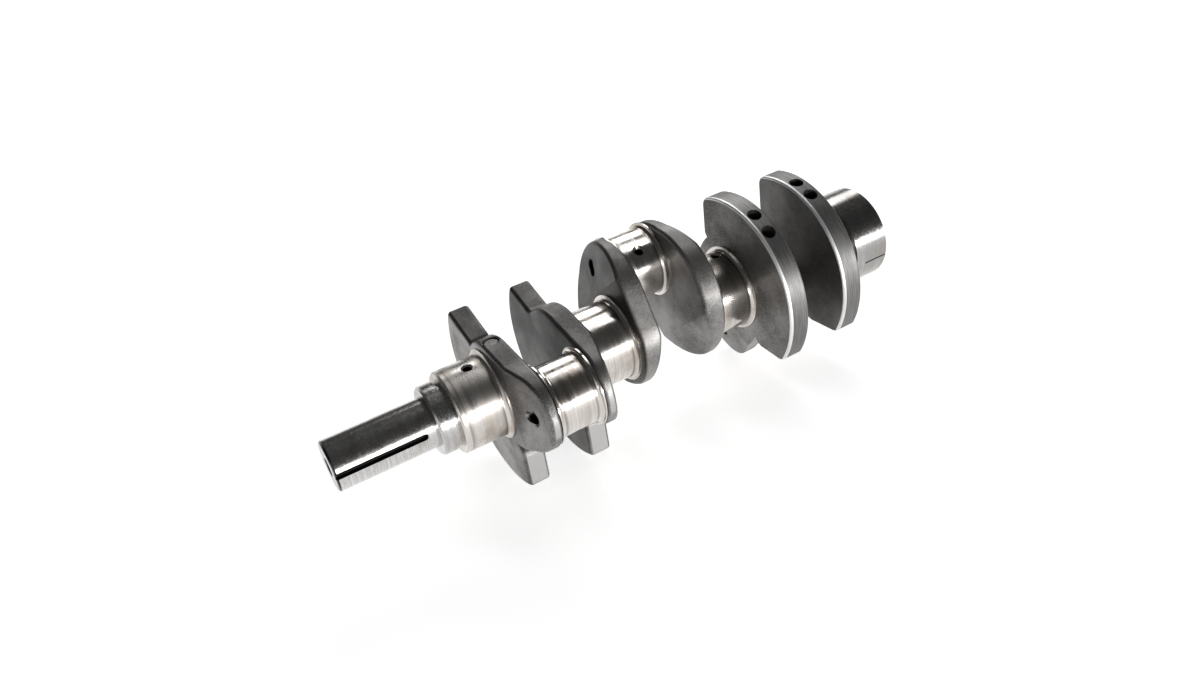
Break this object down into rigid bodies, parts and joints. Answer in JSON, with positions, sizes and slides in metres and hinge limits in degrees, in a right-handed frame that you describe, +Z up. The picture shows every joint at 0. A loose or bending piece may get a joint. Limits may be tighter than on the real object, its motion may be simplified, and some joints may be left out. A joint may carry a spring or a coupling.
{
  "type": "crankshaft",
  "caption": "Forged steel crankshaft with common crankpins, main journals, shaped counterweights, a keyed snout and a flywheel flange.",
  "frame": {"origin": "on the main journals' axis, at the front face of the snout", "axes": "+X along the crank axis from the snout to the flywheel flange; +Z up; +Y completes a right-handed frame. Crankpin 1's throw points to -Y and 5.5 degrees above level"},
  "size_m": [0.474, 0.1523, 0.15],
  "materials": {
    "forged_steel": "satin forged scale, machined rims",
    "ground_steel": "ground and polished",
    "machined_steel": "fine turned",
    "plug_steel": "pressed, satin"
  },
  "bodies": {
    "root": {"crank_web_1": "forged_steel", "crank_web_2": "forged_steel", "crank_web_3": "forged_steel", "crank_web_4": "forged_steel", "crank_web_5": "forged_steel", "crank_web_6": "forged_steel", "main_journal_1": "ground_steel", "main_journal_2": "ground_steel", "main_journal_3": "ground_steel", "main_journal_4": "ground_steel", "crankpin_1": "ground_steel", "crankpin_2": "ground_steel", "crankpin_3": "ground_steel", "rear_seal_journal": "ground_steel", "front_snout": "machined_steel", "timing_gear_seat": "machined_steel", "flywheel_flange": "machined_steel", "oil_plug_1": "plug_steel", "oil_plug_2": "plug_steel", "oil_plug_3": "plug_steel", "rim_plug": "plug_steel"}
  },
  "joints": []
}
